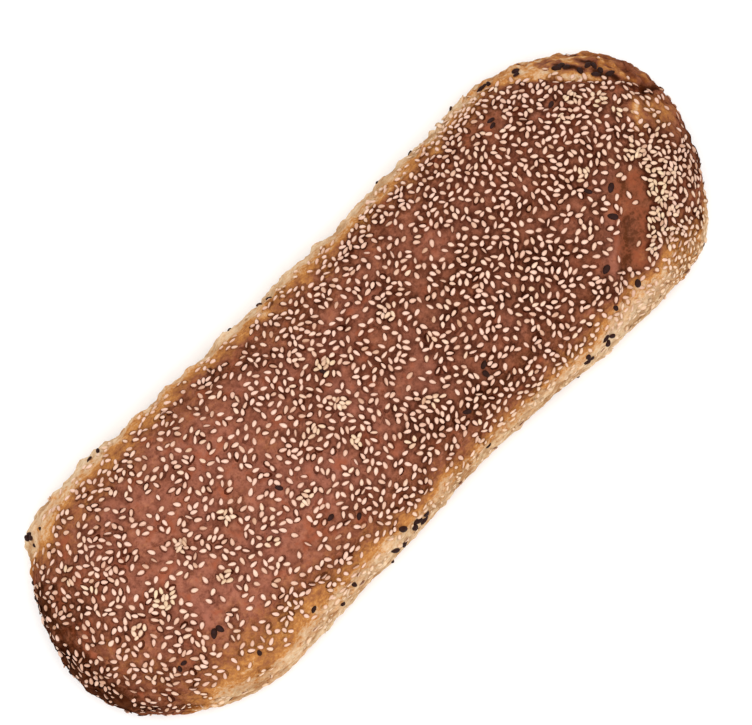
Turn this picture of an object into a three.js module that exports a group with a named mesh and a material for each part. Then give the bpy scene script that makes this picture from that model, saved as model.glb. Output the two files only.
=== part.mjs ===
// A long seeded bread loaf, baked free-standing on a flat sole. It is one solid: a broad
// low crown, round ends, side walls that flare down to a belt just above the sole, a
// swollen foot at one corner and a tucked fold across another.
//
// Millimetres, +Z up. +X runs along the loaf from its tail to its nose, and the origin is
// the middle of the sole.

import * as THREE from 'three';
import { mergeVertices } from 'three/addons/utils/BufferGeometryUtils.js';

// Overall size
const LENGTH = 337;
const HEIGHT = 60;
const BELT_HEIGHT = 17; // height at which the loaf is widest

// Half width of each long side at stations along the loaf. The front faces -Y.
const STATIONS = [-168, -120, -74, -30, 14, 60, 100, 168];
const FRONT_WIDTHS = [61, 61, 58, 56.5, 53.5, 55.5, 57.5, 57.5];
const BACK_WIDTHS = [58, 58, 56.5, 55.5, 56, 57.5, 58.5, 58.5];

// How far the rounding of each corner runs in from the tip, and how far the tips stand
// off the middle line
const CORNER_REACH = {
  nose: { front: 44, back: 65, sway: 10 },
  tail: { front: 74, back: 39, sway: -7 },
};
const SWAY_START = 88; // the sway begins this far from the middle

// Superellipse powers: 2 is round, and more is squarer
const PLAN_POWER = 1.85;
const CROWN_POWER = 2.4;
const UNDER_POWER = 5;
const SOLE_SPREAD = 1.2; // how far the section runs past the sole before it is cut flat

// Places where the dough swells (height above 0) or is drawn in (below 0). Each is a
// soft line from one point to another, with a radius.
const SWELLINGS = [
  { from: [120, 53, 20], to: [150, 36, 18], radius: 12, height: 1.8 }, // nose foot
  { from: [134, -52, 22], to: [140, -50, 22], radius: 12, height: 2.2 }, // nose corner
  { from: [-146, 50, 20], to: [-138, 54, 20], radius: 11, height: 2.6 }, // tail corner
  { from: [-2, 55, 24], to: [4, 55, 24], radius: 12, height: 1.6 }, // back bump
  { from: [58, 56, 24], to: [62, 56, 24], radius: 10, height: 1.8 }, // back shoulder
  { from: [70, -55, 24], to: [76, -55, 24], radius: 10, height: 1.6 }, // front bump
  { from: [134, -13, 50], to: [96, -47, 42], radius: 6, height: -2.4 }, // fold groove
  { from: [126, -5, 54], to: [88, -38, 50], radius: 8, height: 1.6 }, // fold ridge
  { from: [-40, 20, 58], to: [-10, 26, 58], radius: 24, height: -1.4 }, // crown hollow
  { from: [-100, -6, 58], to: [-70, 4, 58], radius: 30, height: 1.2 }, // tail rise
  { from: [36, 4, 58], to: [72, 10, 58], radius: 30, height: 1.0 }, // nose rise
];
const SOLE_BLEND = 7; // the swellings fade out over this height above the sole

// Mesh density
const SEGMENTS_AROUND = 52;
const SEGMENTS_ALONG = 60;

const crustMaterial = new THREE.MeshStandardMaterial({
  color: new THREE.Color(0x9a5a36),
  roughness: 0.62,
  metalness: 0,
});

const frontWidth = new THREE.CubicInterpolant(STATIONS, FRONT_WIDTHS, 1);
const backWidth = new THREE.CubicInterpolant(STATIONS, BACK_WIDTHS, 1);

// A quarter of a superellipse: 1 at 0, falling to 0 at 1.
function roundOff(inset, power) {
  return Math.max(0, 1 - inset ** power) ** (1 / power);
}

function signedPower(value, power) {
  return Math.sign(value) * Math.abs(value) ** power;
}

// How far the loaf's middle line stands off the X axis at x.
function swayAt(x, sway) {
  const towardsTip = Math.max(0, (Math.abs(x) - SWAY_START) / (LENGTH / 2 - SWAY_START));
  return sway * towardsTip ** 2;
}

// A point on the cross-section at x. The angle runs round the loaf's long axis from +Y,
// over the crown, to -Y and back under the sole.
function sectionPoint(x, angle) {
  const across = Math.cos(angle);
  const up = Math.sin(angle);
  const { front, back, sway } = x > 0 ? CORNER_REACH.nose : CORNER_REACH.tail;
  const reach = THREE.MathUtils.lerp(front, back, (across + 1) / 2);
  const inset = THREE.MathUtils.clamp(1 - (LENGTH / 2 - Math.abs(x)) / reach, 0, 1);
  const widthAtX = (across < 0 ? frontWidth : backWidth).evaluate(x)[0];
  const halfWidth = widthAtX * roundOff(inset, PLAN_POWER);

  // 0 along the middle line, 1 on the outline
  const power = up >= 0 ? CROWN_POWER : UNDER_POWER;
  const offset = signedPower(across, 2 / power);
  const endShare = inset ** PLAN_POWER;
  const sideShare = (1 - endShare) * Math.abs(offset) ** PLAN_POWER;
  const rim = Math.min(1, (endShare + sideShare) ** (1 / PLAN_POWER));

  const rise = (HEIGHT - BELT_HEIGHT) * roundOff(rim, CROWN_POWER);
  const drop = BELT_HEIGHT * Math.min(1, SOLE_SPREAD * roundOff(rim, UNDER_POWER));
  const z = BELT_HEIGHT + (up >= 0 ? rise : -drop);
  return new THREE.Vector3(x, swayAt(x, sway) + halfWidth * offset, z);
}

// Moves a surface point in or out by the swellings near it.
function swell(point) {
  const coreEnd = LENGTH / 2 - CORNER_REACH.nose.back;
  const coreX = THREE.MathUtils.clamp(point.x, -coreEnd, coreEnd);
  const core = new THREE.Vector3(coreX, 0, BELT_HEIGHT);
  const outward = point.clone().sub(core).normalize();
  const fade = THREE.MathUtils.smoothstep(point.z, 0, SOLE_BLEND);
  const nearest = new THREE.Vector3();
  let offset = 0;
  for (const { from, to, radius, height } of SWELLINGS) {
    const line = new THREE.Line3(new THREE.Vector3(...from), new THREE.Vector3(...to));
    line.closestPointToPoint(point, true, nearest);
    offset += height * Math.exp(-((point.distanceTo(nearest) / radius) ** 2));
  }
  return point.addScaledVector(outward, offset * fade);
}

// The sphere's poles become the tips of the loaf, and its meridians run along it.
function makeLoafGeometry() {
  const loaf = new THREE.SphereGeometry(LENGTH / 2, SEGMENTS_AROUND, SEGMENTS_ALONG);
  loaf.rotateZ(-Math.PI / 2);
  const vertices = loaf.attributes.position;
  const point = new THREE.Vector3();
  for (let i = 0; i < vertices.count; i += 1) {
    point.fromBufferAttribute(vertices, i);
    const angle = Math.atan2(point.z, point.y);
    const surface = swell(sectionPoint(point.x, angle));
    vertices.setXYZ(i, surface.x, surface.y, surface.z);
  }
  loaf.computeBoundingBox();
  const middle = loaf.boundingBox.getCenter(new THREE.Vector3());
  loaf.translate(-middle.x, -middle.y, -loaf.boundingBox.min.z);
  loaf.deleteAttribute('normal');
  loaf.deleteAttribute('uv');
  return mergeVertices(loaf);
}

const loaf = new THREE.Mesh(makeLoafGeometry(), crustMaterial);
loaf.name = 'loaf';

const model = new THREE.Group();
model.add(loaf);

export default model;
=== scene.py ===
"""A long seeded loaf: its baked crust, the sesame on the crown and a few dark grains.

The CAD solid gives the loaf's form and size. This script gives it its crust, scatters the
seeds over it, and lays it on a plain pale floor.
"""

import itertools
import math
from collections import namedtuple

import bmesh
import bpy
import numpy as np
from bpy.props import FloatProperty, FloatVectorProperty, IntProperty, PointerProperty
from mathutils import Matrix, Vector, noise
from mathutils.bvhtree import BVHTree
from mathutils.kdtree import KDTree


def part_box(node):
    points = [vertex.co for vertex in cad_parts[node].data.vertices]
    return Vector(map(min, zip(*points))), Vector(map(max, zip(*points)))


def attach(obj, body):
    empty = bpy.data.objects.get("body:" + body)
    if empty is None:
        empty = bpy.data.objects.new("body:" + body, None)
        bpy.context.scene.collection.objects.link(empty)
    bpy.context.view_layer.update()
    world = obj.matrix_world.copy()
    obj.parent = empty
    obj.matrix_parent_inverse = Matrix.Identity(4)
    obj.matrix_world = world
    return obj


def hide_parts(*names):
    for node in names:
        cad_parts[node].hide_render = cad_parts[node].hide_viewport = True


bl_info = {
    "name": "Seeded Loaf",
    "version": (1, 0, 0),
    "blender": (4, 5, 0),
    "location": "3D View > Sidebar > Seeded Loaf",
    "description": "Builds a long seeded loaf round its CAD solid",
    "category": "Object",
}

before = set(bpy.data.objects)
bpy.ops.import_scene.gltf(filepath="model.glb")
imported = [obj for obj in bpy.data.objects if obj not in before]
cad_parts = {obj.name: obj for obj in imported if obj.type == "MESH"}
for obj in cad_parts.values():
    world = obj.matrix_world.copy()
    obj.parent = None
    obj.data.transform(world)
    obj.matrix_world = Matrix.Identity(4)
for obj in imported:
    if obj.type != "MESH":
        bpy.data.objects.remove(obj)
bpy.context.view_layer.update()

# The frame is in metres. The shapes below are worked out in millimetres.
MM = 0.001
SQUARE_CENTIMETRE = 100  # in square millimetres
LOAF_LOW, LOAF_HIGH = (np.array(corner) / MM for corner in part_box("loaf"))
HALF_LENGTH, HALF_WIDTH = LOAF_HIGH[0], LOAF_HIGH[1]
HEIGHT = LOAF_HIGH[2]


def place(along, across, up=None):
    """A spot on the loaf in millimetres, from shares of its size.

    along runs from -1 at the tail to 1 at the nose, across from -1 at the front to 1 at
    the back, and up from 0 at the sole to 1 at the top of the crown.
    """
    spot = [along * HALF_LENGTH, across * HALF_WIDTH]
    return np.array(spot if up is None else [*spot, up * HEIGHT])


# ---- Where the loaf differs from place to place ----

# The dough was folded over at the front of the nose: a swollen ridge, a crease behind it,
# and a bare shiny strip that stretched too late to hold seeds.
FOLD_RIDGE = (place(0.65, -0.36), place(0.52, -0.78))
FOLD_CREASE = (place(0.66, -0.47), place(0.54, -0.78))
FOLD_LOBE = (place(0.69, -0.55), place(0.63, -0.74))
FOLD_SCORE = (place(0.62, -0.36), place(0.52, -0.70))
BARE_STRIP = (place(0.717, -0.38), place(0.64, -0.61))
BARE_STRIP_REACH = 11.8

# Seeds were swept together past the bare strip, round the front corner of the nose.
SEED_DRIFT = (place(0.83, -0.28), place(0.725, -0.96))
SEED_DRIFT_REACH = 12
DRIFT_SEEDS = 350

# The crust shrank in a little at the four corners.
SHRUNK_CORNERS = (place(0.85, 0.68), place(-0.87, 0.70), place(-0.85, -0.72), place(0.82, -0.78))

# A lip of dough burst out under the crown at the back corner of the nose.
LIP_EDGE = place(0.76, 0.63)
LIP_FACING = np.array([0.69, 0.725])
LIP_CREASE = (place(0.91, 0.14, 0.84), place(0.985, 0.07, 0.52))
LIP_SEAM = (place(0.90, 0.15), place(0.84, -0.05))
LIP_BURN = (place(0.81, 0.72), place(0.93, 0.36))

# Blisters of the lip that burnt black: (from, to, reach)
BURNT_BLISTERS = (
    (place(0.832, 0.67, 0.725), place(0.858, 0.53, 0.785), 2.3),
    (place(0.880, 0.60, 0.69), place(0.895, 0.51, 0.73), 1.9),
    (place(0.876, 0.43, 0.80), place(0.884, 0.37, 0.82), 2.0),
    (place(0.900, 0.35, 0.79), place(0.903, 0.31, 0.80), 1.7),
    (place(0.885, 0.70, 0.58), place(0.890, 0.65, 0.60), 1.9),
    (place(0.780, 0.86, 0.55), place(0.786, 0.84, 0.57), 1.5),
)

# How deeply each side is baked, from the sole up: shares of the height, and bake depths
FRONT_BAKE = (
    (0.0, 0.42, 0.54, 0.61, 0.67, 0.72, 0.77, 0.88, 1.0),
    (0.02, 0.05, 0.13, 0.25, 0.42, 0.58, 0.70, 0.76, 0.78),
)
BACK_BAKE = (
    (0.0, 0.50, 0.58, 0.64, 0.70, 0.75, 0.80, 0.90, 1.0),
    (0.02, 0.05, 0.16, 0.28, 0.38, 0.56, 0.76, 0.78, 0.78),
)

# How far the bake line on the front wanders: shares of the half length, and how many
# millimetres lower it runs there
FRONT_LINE = (
    (-0.80, -0.66, -0.50, -0.25, -0.10, 0.0, 0.20, 0.35, 0.55, 0.68, 0.80),
    (-0.8, 1.2, -2.4, -1.6, 1.2, 3.0, 4.0, 2.5, -1.2, -3.0, -1.0),
)

# How much deeper the front wall is baked: shares of the half length, and depths
FRONT_TONE = ((-0.7, -0.5, 0.2, 0.5), (0.07, 0.02, 0.0, -0.09))

# Places that are baked more or less than their surroundings
GOLDEN_TAIL_CORNER = (place(-0.74, -0.86), place(-0.50, -0.90))
PALE_TAIL_SHOULDER = (place(-0.86, 0.66), place(-0.62, 0.80))
BACK_SCORCH = (place(-0.36, 0.84), place(-0.16, 0.45))
DRIFT_BED = (place(0.90, -0.38), place(0.81, -0.72))
DRIFT_END = place(0.72, -0.93)
NOSE_GLOW = (place(0.93, -0.08, 0.80), place(0.985, -0.10, 0.50))

# Marks in the baking, and painted shade in the lip's crease: (spot or line, reach, how much deeper)
BAKE_AND_SHADE_MARKS = (
    (place(0.97, -0.36), 12, 0.14),
    (place(0.84, 0.36), 10, -0.10),
    (place(-0.86, -0.37), 14, -0.10),
    # Painted shade in the lip's crease
    (LIP_CREASE, 2.2, 0.45),
)
# Painted shade in the fold's crease and score, and a paler ridge: (line, reach, how much deeper)
FOLD_SHADE_AND_BAKE = (
    (FOLD_CREASE, 3.0, 0.22),
    (FOLD_SCORE, 2.2, 0.10),
    (FOLD_RIDGE, 3.2, -0.14),
)

# What stands out of the fold, or is drawn in: (line, reach, height in millimetres)
FOLDS = (
    (FOLD_RIDGE, 3.2, 1.5),
    (FOLD_LOBE, 4.5, 1.1),
    (FOLD_CREASE, 2.3, -1.5),
    (FOLD_SCORE, 1.7, -0.9),
)

# The lumps all over the crust: (height, width, layer of the noise)
CRUST_LUMPS = ((1.0, 26, 1), (0.60, 11, 2), (0.32, 4.6, 3), (0.18, 2.6, 4))
FLAT_BELOW = 0.5  # what is lower than this many millimetres is flat sole

# Spots without seeds: (spot, reach)
BARE_SPOTS = (
    (place(-0.73, -0.86), 8),
    (place(-0.63, -0.92), 7),
    (place(-0.86, 0.90), 11),
    (place(0.68, 0.58), 4),
    (place(0.16, 0.02), 4),
    (place(-0.68, -0.42), 5),
    (place(-0.36, -0.50), 5),
    (place(-0.58, 0.30), 5),
)

# Little heaps of seeds on the crown: (along, across, reach, seeds on top)
SEED_HEAPS = (
    (-0.735, -0.19, 5.0, 15),
    (-0.87, 0.27, 3.6, 8),
    (-0.91, 0.52, 4.0, 8),
    (-0.49, -0.06, 3.4, 6),
    (-0.85, -0.23, 4.5, 7),
    (-0.61, 0.02, 3.4, 6),
    (-0.59, -0.37, 3.2, 5),
    (-0.09, 0.26, 4.2, 9),
    (-0.125, -0.03, 4.0, 9),
    (-0.21, -0.03, 3.4, 6),
    (-0.155, -0.32, 4.2, 9),
    (0.10, 0.22, 4.6, 9),
    (0.04, -0.51, 3.6, 6),
    (-0.33, -0.37, 3.4, 6),
    (-0.45, -0.44, 3.2, 5),
    (-0.06, -0.65, 3.0, 4),
    (0.74, 0.36, 3.6, 8),
    (0.80, 0.47, 4.0, 9),
    (0.86, 0.14, 3.4, 6),
    (0.85, 0.31, 4.6, 10),
    (0.66, -0.06, 3.0, 5),
    (0.80, -0.20, 4.5, 10),
    (0.79, -0.58, 6.0, 12),
    (0.75, -0.76, 5.0, 8),
)

# Dark grains, alone or a few together: (along, across, up, spread, grains, size)
GRAIN_SPOTS = (
    (-0.49, -0.86, 0.69, 0, 1, 0.9),
    (-0.43, -0.95, 0.48, 0, 1, 1.0),
    (-0.38, -0.92, 0.55, 0, 1, 0.9),
    (-0.235, -0.94, 0.43, 0.8, 2, 1.2),
    (-0.165, -0.90, 0.53, 1.8, 4, 1.3),
    (-0.21, -0.87, 0.63, 0.6, 1, 1.35),
    (0.46, -0.90, 0.57, 1.2, 3, 1.1),
    (0.40, -0.92, 0.53, 1.2, 3, 1.0),
    (0.51, -0.80, 0.73, 0, 1, 0.9),
    (0.55, -0.60, 0.90, 0.6, 1, 1.15),
    (0.59, -0.79, 0.71, 0, 1, 1.1),
    (0.64, -0.38, 0.96, 0, 1, 1.2),
    (0.685, -0.235, 0.98, 0, 1, 1.1),
    (0.64, -0.15, 0.98, 0, 1, 0.9),
    (-0.68, -0.55, 0.91, 1.6, 3, 1.1),
    (-0.80, -0.53, 0.84, 0.8, 2, 0.8),
    (-0.65, -0.82, 0.75, 0, 1, 0.9),
    (-0.32, -0.52, 0.91, 0, 1, 0.95),
    (-0.27, -0.64, 0.86, 0, 1, 0.95),
    (0.18, -0.51, 0.90, 1.2, 2, 1.0),
    (0.08, -0.63, 0.83, 0, 1, 1.0),
    (-0.36, -0.16, 0.99, 0, 1, 0.9),
    (-0.10, 0.20, 0.96, 0, 1, 0.8),
    (0.59, 0.61, 0.88, 0.8, 2, 0.9),
    (0.73, 0.45, 0.92, 0, 1, 0.9),
    (0.86, 0.55, 0.78, 3.6, 3, 1.1),
    (0.84, 0.62, 0.78, 1.6, 3, 1.2),
    (0.90, 0.36, 0.85, 1.4, 1, 1.15),
    (0.875, 0.44, 0.85, 1.4, 2, 1.1),
    (0.74, 0.80, 0.70, 0.8, 2, 1.0),
    (0.68, 0.93, 0.56, 1.4, 3, 1.0),
    (-0.86, 0.86, 0.50, 3.0, 3, 0.9),
    (-0.60, 0.92, 0.60, 2.0, 2, 0.8),
    (-0.05, 0.93, 0.55, 2.0, 2, 0.8),
)

# How many of the flat seeds stand on edge, and how many lean
ON_EDGE_SHARE = 0.03
LEANING_SHARE = 0.11
CROWD_REACH = 3.2  # millimetres within which seeds count as crowded
GRAIN_WIDTH = 0.64  # as a share of a grain's length
GRAIN_TRIES = 8  # spots tried for each grain

# The stretches that the seeds are split into: (name, start, end) by shares of the half length
STRETCHES = (("on_tail", -1.1, -0.36), ("on_middle", -0.36, 0.34), ("on_nose", 0.34, 1.1))

# Tints that darken or lighten the crust, and colours that flour, rims and feet take
SCORCH_TINT = (0.42, 0.33, 0.29)
SPECK_TINT = (0.60, 0.44, 0.30)
# The crevice tint is painted shade in the dents of the walls.
CREVICE_SHADE_TINT = (0.62, 0.47, 0.34)
TORN_TINT = (0.66, 0.50, 0.36)
CRUMB_TINT = (1.20, 1.19, 1.16)
OLIVE_TINT = (0.74, 0.72, 0.60)
# The shade tint is painted shade round the seeds; it also darkens the burnt crust.
SHADE_TINT = (0.17, 0.080, 0.035)
FLOUR_COLOUR = (0.86, 0.72, 0.52)
# The seeds' rim and foot colours are painted shade on their flanks and lower half.
SEED_FLANK_SHADE = (0.46, 0.23, 0.14)
SEED_FOOT_SHADE = (0.13, 0.045, 0.022)
GRAIN_PATCH_COLOUR = (0.030, 0.014, 0.014)
GRAIN_FOOT_COLOUR = (0.10, 0.04, 0.02)


# ---- Settings ----


def colour_setting(name, of_what, default):
    """A colour that a user can change."""
    description = "Colour of " + of_what
    return FloatVectorProperty(name=name, description=description, subtype="COLOR", default=default)


def length_setting(name, description, default, least):
    """A length that a user can change, in metres."""
    return FloatProperty(name=name, description=description, default=default, min=least, unit="LENGTH")


class LoafCrustSettings(bpy.types.PropertyGroup):
    grid: length_setting("Mesh Grid", "Width of the crust's mesh cells", 1.12 * MM, 0.8 * MM)
    relief: length_setting("Relief", "Height of the lumps and dents of the crust", 0.5 * MM, 0.0)
    wall_colour: colour_setting("Wall Colour", "the pale lower walls", (0.655, 0.482, 0.318))
    golden_colour: colour_setting("Golden Colour", "the shoulders above the walls", (0.472, 0.199, 0.053))
    russet_colour: colour_setting("Russet Colour", "the crown", (0.222, 0.0735, 0.037))
    char_colour: colour_setting("Dark Colour", "the darkest crust, at both ends", (0.085, 0.024, 0.008))
    ruddy_colour: colour_setting("Ruddy Colour", "the redder patches of the crown", (0.282, 0.072, 0.033))
    tan_colour: colour_setting("Tan Colour", "the lighter patches of the crown", (0.36, 0.138, 0.084))
    rust_colour: colour_setting("Rust Colour", "the bare strip by the fold", (0.225, 0.054, 0.022))
    maroon_colour: colour_setting("Maroon Colour", "the crown's darker patches", (0.125, 0.035, 0.020))
    # The blush is a rosy tint with a painted sheen on the top of the crown.
    blush_and_sheen_colour: colour_setting("Blush Colour", "the rosy bloom on the crown", (0.36, 0.131, 0.090))


class LoafSesameSettings(bpy.types.PropertyGroup):
    length: length_setting("Seed Length", "Length of a sesame seed", 3.02 * MM, 1.0 * MM)
    width: length_setting("Seed Width", "Width of a sesame seed", 1.93 * MM, 0.5 * MM)
    thickness: length_setting("Seed Thickness", "Thickness of a sesame seed", 1.1 * MM, 0.3 * MM)
    density: FloatProperty(
        name="Seeds per Square Centimetre",
        description="How thickly the crown is seeded",
        default=8.25,
        min=0.0,
    )
    colour: colour_setting("Seed Colour", "a well lit seed", (0.765, 0.515, 0.412))
    yellow_colour: colour_setting("Yellow Seed Colour", "the seeds of the heaps", (0.74, 0.57, 0.37))
    dusty_colour: colour_setting("Dusty Colour", "the seeds sunk in the pale walls", (0.72, 0.52, 0.32))
    toasted_colour: colour_setting("Toasted Colour", "the seeds that browned most", (0.44, 0.22, 0.12))
    seed: IntProperty(name="Random Seed", description="Changes where the sesame falls", default=11)


class LoafGrainSettings(bpy.types.PropertyGroup):
    length: length_setting("Grain Length", "Length of a dark grain", 3.7 * MM, 1.0 * MM)
    strays: IntProperty(
        name="Stray Grains",
        description="Dark grains scattered over the walls, besides the placed ones",
        default=30,
        min=0,
    )
    colour: colour_setting("Grain Colour", "the dark grains", (0.026, 0.010, 0.006))
    seed: IntProperty(name="Random Seed", description="Changes where the grains fall", default=5)


class LoafStageSettings(bpy.types.PropertyGroup):
    azimuth: FloatProperty(
        name="Camera Azimuth",
        description="Direction that the camera looks from, round the loaf",
        default=math.radians(-44.0),
        subtype="ANGLE",
    )
    elevation: FloatProperty(
        name="Camera Elevation",
        description="Angle of the camera above the floor",
        default=math.radians(80.0),
        subtype="ANGLE",
    )
    distance: length_setting("Camera Distance", "Distance from the camera to the loaf", 1.0, 0.1)
    focal_length: FloatProperty(
        name="Focal Length",
        description="Focal length of the lens, in millimetres",
        default=118.8,
    )
    floor_colour: colour_setting("Floor Colour", "the floor", (0.93, 0.93, 0.92))
    sky: FloatProperty(
        name="Fill Light",
        description="Strength of the even light from all round",
        default=1.0,
    )
    key: FloatProperty(
        name="Key Light",
        description="Power of the large soft light overhead, in watts",
        default=9.5,
    )


class LoafSettings(bpy.types.PropertyGroup):
    crust: PointerProperty(type=LoafCrustSettings)
    sesame: PointerProperty(type=LoafSesameSettings)
    grain: PointerProperty(type=LoafGrainSettings)
    stage: PointerProperty(type=LoafStageSettings)


# ---- Measures on the loaf ----


def smooth(value, low, high):
    """0 below low, 1 above high, and an even S between them."""
    share = np.clip((value - low) / (high - low), 0.0, 1.0)
    return share * share * (3.0 - 2.0 * share)


def upward(points, low, high):
    """smooth by height, between two shares of the loaf's height."""
    return smooth(points[:, 2], low * HEIGHT, high * HEIGHT)


def noseward(points, low, high):
    """smooth along the loaf, between two shares of its half length."""
    return smooth(points[:, 0], low * HALF_LENGTH, high * HALF_LENGTH)


def backward(points, low, high):
    """smooth across the loaf, between two shares of its half width."""
    return smooth(points[:, 1], low * HALF_WIDTH, high * HALF_WIDTH)


def front_share(points):
    """0 on the back half, rising to 1 towards the front."""
    return smooth(-points[:, 1], 0, 0.5 * HALF_WIDTH)


def lumps(points, size, layer):
    """Even noise from about -1 to 1 at each point. size is a lump's width in millimetres."""
    shift = Vector((3.7, 1.9, 5.3)) * layer
    return np.array([noise.noise(Vector(p) / size + shift) for p in points.tolist()])


def distance_from(points, mark):
    """Distance of each point from a spot, or from a straight line between two spots. It is
    measured in plan where the spots have no height."""
    if not isinstance(mark, tuple):
        return np.linalg.norm(points[:, : len(mark)] - mark, axis=1)
    start, end = mark
    along = end - start
    offsets = points[:, : len(start)] - start
    share = np.clip(offsets @ along / (along @ along), 0.0, 1.0)
    return np.linalg.norm(offsets - share[:, None] * along, axis=1)


def fading(distance, reach):
    """A soft bump: 1 at no distance, and almost 0 past twice the reach."""
    return np.exp(-((distance / reach) ** 2))


def near(points, mark, reach):
    """A soft bump round a spot, or all along a line between two."""
    return fading(distance_from(points, mark), reach)


def ragged(points):
    """The points shifted a little by noise, so that what is measured from them is uneven."""
    shifts = [1.1 * lumps(points, 9, layer) + 0.5 * lumps(points, 2.8, layer + 3) for layer in (61, 62)]
    return points + np.stack([*shifts, 0 * shifts[0]], axis=1)


def past_lip(points):
    """How far each point lies outside the lip's edge, in plan. Inside is below zero."""
    return (points[:, :2] - LIP_EDGE) @ LIP_FACING


def lip_share(points):
    """1 on the burst lip at the back of the nose, and 0 elsewhere."""
    edge = smooth(past_lip(points) + 1.3 * lumps(points, 9, 21), -0.6, 0.9)
    return edge * noseward(points, 0.56, 0.62) * backward(points, 0.02, 0.12)


def bare_strip_share(points):
    """1 on the bare shiny strip behind the fold, and 0 elsewhere."""
    wander = 1.6 * lumps(points, 7, 22) + 1.2 * lumps(points, 3, 25)
    distance = distance_from(points, BARE_STRIP) + wander
    return 1 - smooth(distance, BARE_STRIP_REACH - 3.0, BARE_STRIP_REACH + 1.0)


def end_share(points):
    """1 on the dark end walls, and 0 along the loaf's body and at the pale corners."""
    x, y = points[:, 0], points[:, 1]
    wander = 5.0 * lumps(points, 16, 23) + 2.0 * lumps(points, 6, 24)
    tail = smooth(-x + wander, 0.70 * HALF_LENGTH, 0.95 * HALF_LENGTH)
    tail = tail * (1 - smooth(y + wander, 0.42 * HALF_WIDTH, 0.85 * HALF_WIDTH))
    tail = tail * (1 - 0.85 * smooth(-y + wander, 0.66 * HALF_WIDTH, 0.84 * HALF_WIDTH))
    nose = smooth(x + wander, 0.76 * HALF_LENGTH, 0.96 * HALF_LENGTH)
    nose = nose * (1 - smooth(-y + wander, 0.48 * HALF_WIDTH, 0.88 * HALF_WIDTH))
    return np.maximum(tail, nose)


# ---- Meshes ----


def vectors(items, field="co"):
    """A field of a mesh's vertices, such as their places in metres, as an array."""
    values = np.empty(len(items) * 3, np.float32)
    items.foreach_get(field, values)
    return values.reshape(-1, 3).astype(float)


def set_share(mesh, name, values):
    """Stores one number for each vertex, for the materials to read."""
    layer = mesh.attributes.get(name) or mesh.attributes.new(name, "FLOAT", "POINT")
    layer.data.foreach_set("value", np.asarray(values, np.float32))


def get_share(mesh, name):
    """The numbers that set_share stored."""
    values = np.empty(len(mesh.vertices), np.float32)
    mesh.attributes[name].data.foreach_get("value", values)
    return values


def new_mesh(name, form):
    """Makes a mesh from a bmesh, and frees the bmesh."""
    mesh = bpy.data.meshes.new(name)
    form.to_mesh(mesh)
    form.free()
    return mesh


def new_object(name, data):
    """Puts an object in the scene, at the origin."""
    thing = bpy.data.objects.new(name, data)
    bpy.context.scene.collection.objects.link(thing)
    return thing


def new_piece(name, mesh, material):
    """Puts a finished mesh in the scene as a piece of the loaf."""
    piece = new_object(name, mesh)
    mesh.materials.clear()
    mesh.materials.append(material)
    mesh.shade_smooth()
    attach(piece, "root")
    return piece


# ---- Shading ----


def opaque(colour):
    return (*colour, 1.0)


class Shading:
    """A new material, and short ways to add the nodes of its shader."""

    def __init__(self, name):
        self.material = bpy.data.materials.new(name)
        self.material.use_nodes = True
        self.tree = self.material.node_tree
        self.tree.nodes.clear()
        self.shader = self.add("ShaderNodeBsdfPrincipled")
        self.add("ShaderNodeOutputMaterial", {"Surface": self.shader.outputs["BSDF"]})
        self.where = self.add("ShaderNodeTexCoord").outputs["Object"]

    def add(self, kind, inputs=None, **options):
        """Adds a node with some of its inputs and options set."""
        node = self.tree.nodes.new(kind)
        for name, value in options.items():
            setattr(node, name, value)
        self.fill(node, inputs or {})
        return node

    def fill(self, node, inputs):
        """Sets a node's inputs. One that is given as a socket is linked."""
        for key, value in inputs.items():
            if isinstance(value, bpy.types.NodeSocket):
                self.tree.links.new(value, node.inputs[key])
            else:
                node.inputs[key].default_value = value

    def noise(self, size, detail=3.0, roughness=0.55, where=None):
        """Noise from 0 to 1 whose lumps are about size millimetres wide."""
        inputs = {"Scale": 1 / (size * MM), "Detail": detail, "Roughness": roughness}
        inputs["Vector"] = self.where if where is None else where
        return self.add("ShaderNodeTexNoise", inputs).outputs["Fac"]

    def number(self, operation, first, second, clamp=False):
        """The sum, or another operation's result, of two numbers."""
        node = self.add("ShaderNodeMath", {0: first, 1: second}, operation=operation, use_clamp=clamp)
        return node.outputs["Value"]

    def times(self, product, *factors):
        """The product of two or more numbers."""
        for factor in factors:
            product = self.number("MULTIPLY", product, factor)
        return product

    def spread(self, value, low, high, to_low=0.0, to_high=1.0):
        """Maps low..high to to_low..to_high, and clamps."""
        inputs = {"Value": value, 1: low, 2: high, 3: to_low, 4: to_high}
        return self.add("ShaderNodeMapRange", inputs).outputs["Result"]

    def stored(self, name):
        """A number stored on the mesh by set_share."""
        return self.add("ShaderNodeAttribute", attribute_name=name).outputs["Fac"]

    def coated(self, colour, coats):
        """The colour under its coats, in order. Each is (share, colour, way to blend it in)."""
        for share, coat, mode in coats:
            inputs = {0: share, 6: colour, 7: opaque(coat)}
            node = self.add("ShaderNodeMix", inputs, data_type="RGBA", blend_type=mode)
            colour = node.outputs[2]
        return colour

    def bumpy(self, height, strength, depth):
        """The normal of a surface with bumps. depth is in millimetres."""
        inputs = {"Height": height, "Strength": strength, "Distance": depth * MM}
        return self.add("ShaderNodeBump", inputs).outputs["Normal"]

    def finished(self, looks):
        """The material, once its shader's inputs are set."""
        self.fill(self.shader, looks)
        return self.material


# ---- Crust ----


def wall_share(points, ends, sides_range, ends_range):
    """1 low on the walls, and 0 above. The end walls reach higher than the sides."""
    return np.maximum(1 - upward(points, *sides_range), ends * (1 - upward(points, *ends_range)))


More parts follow.
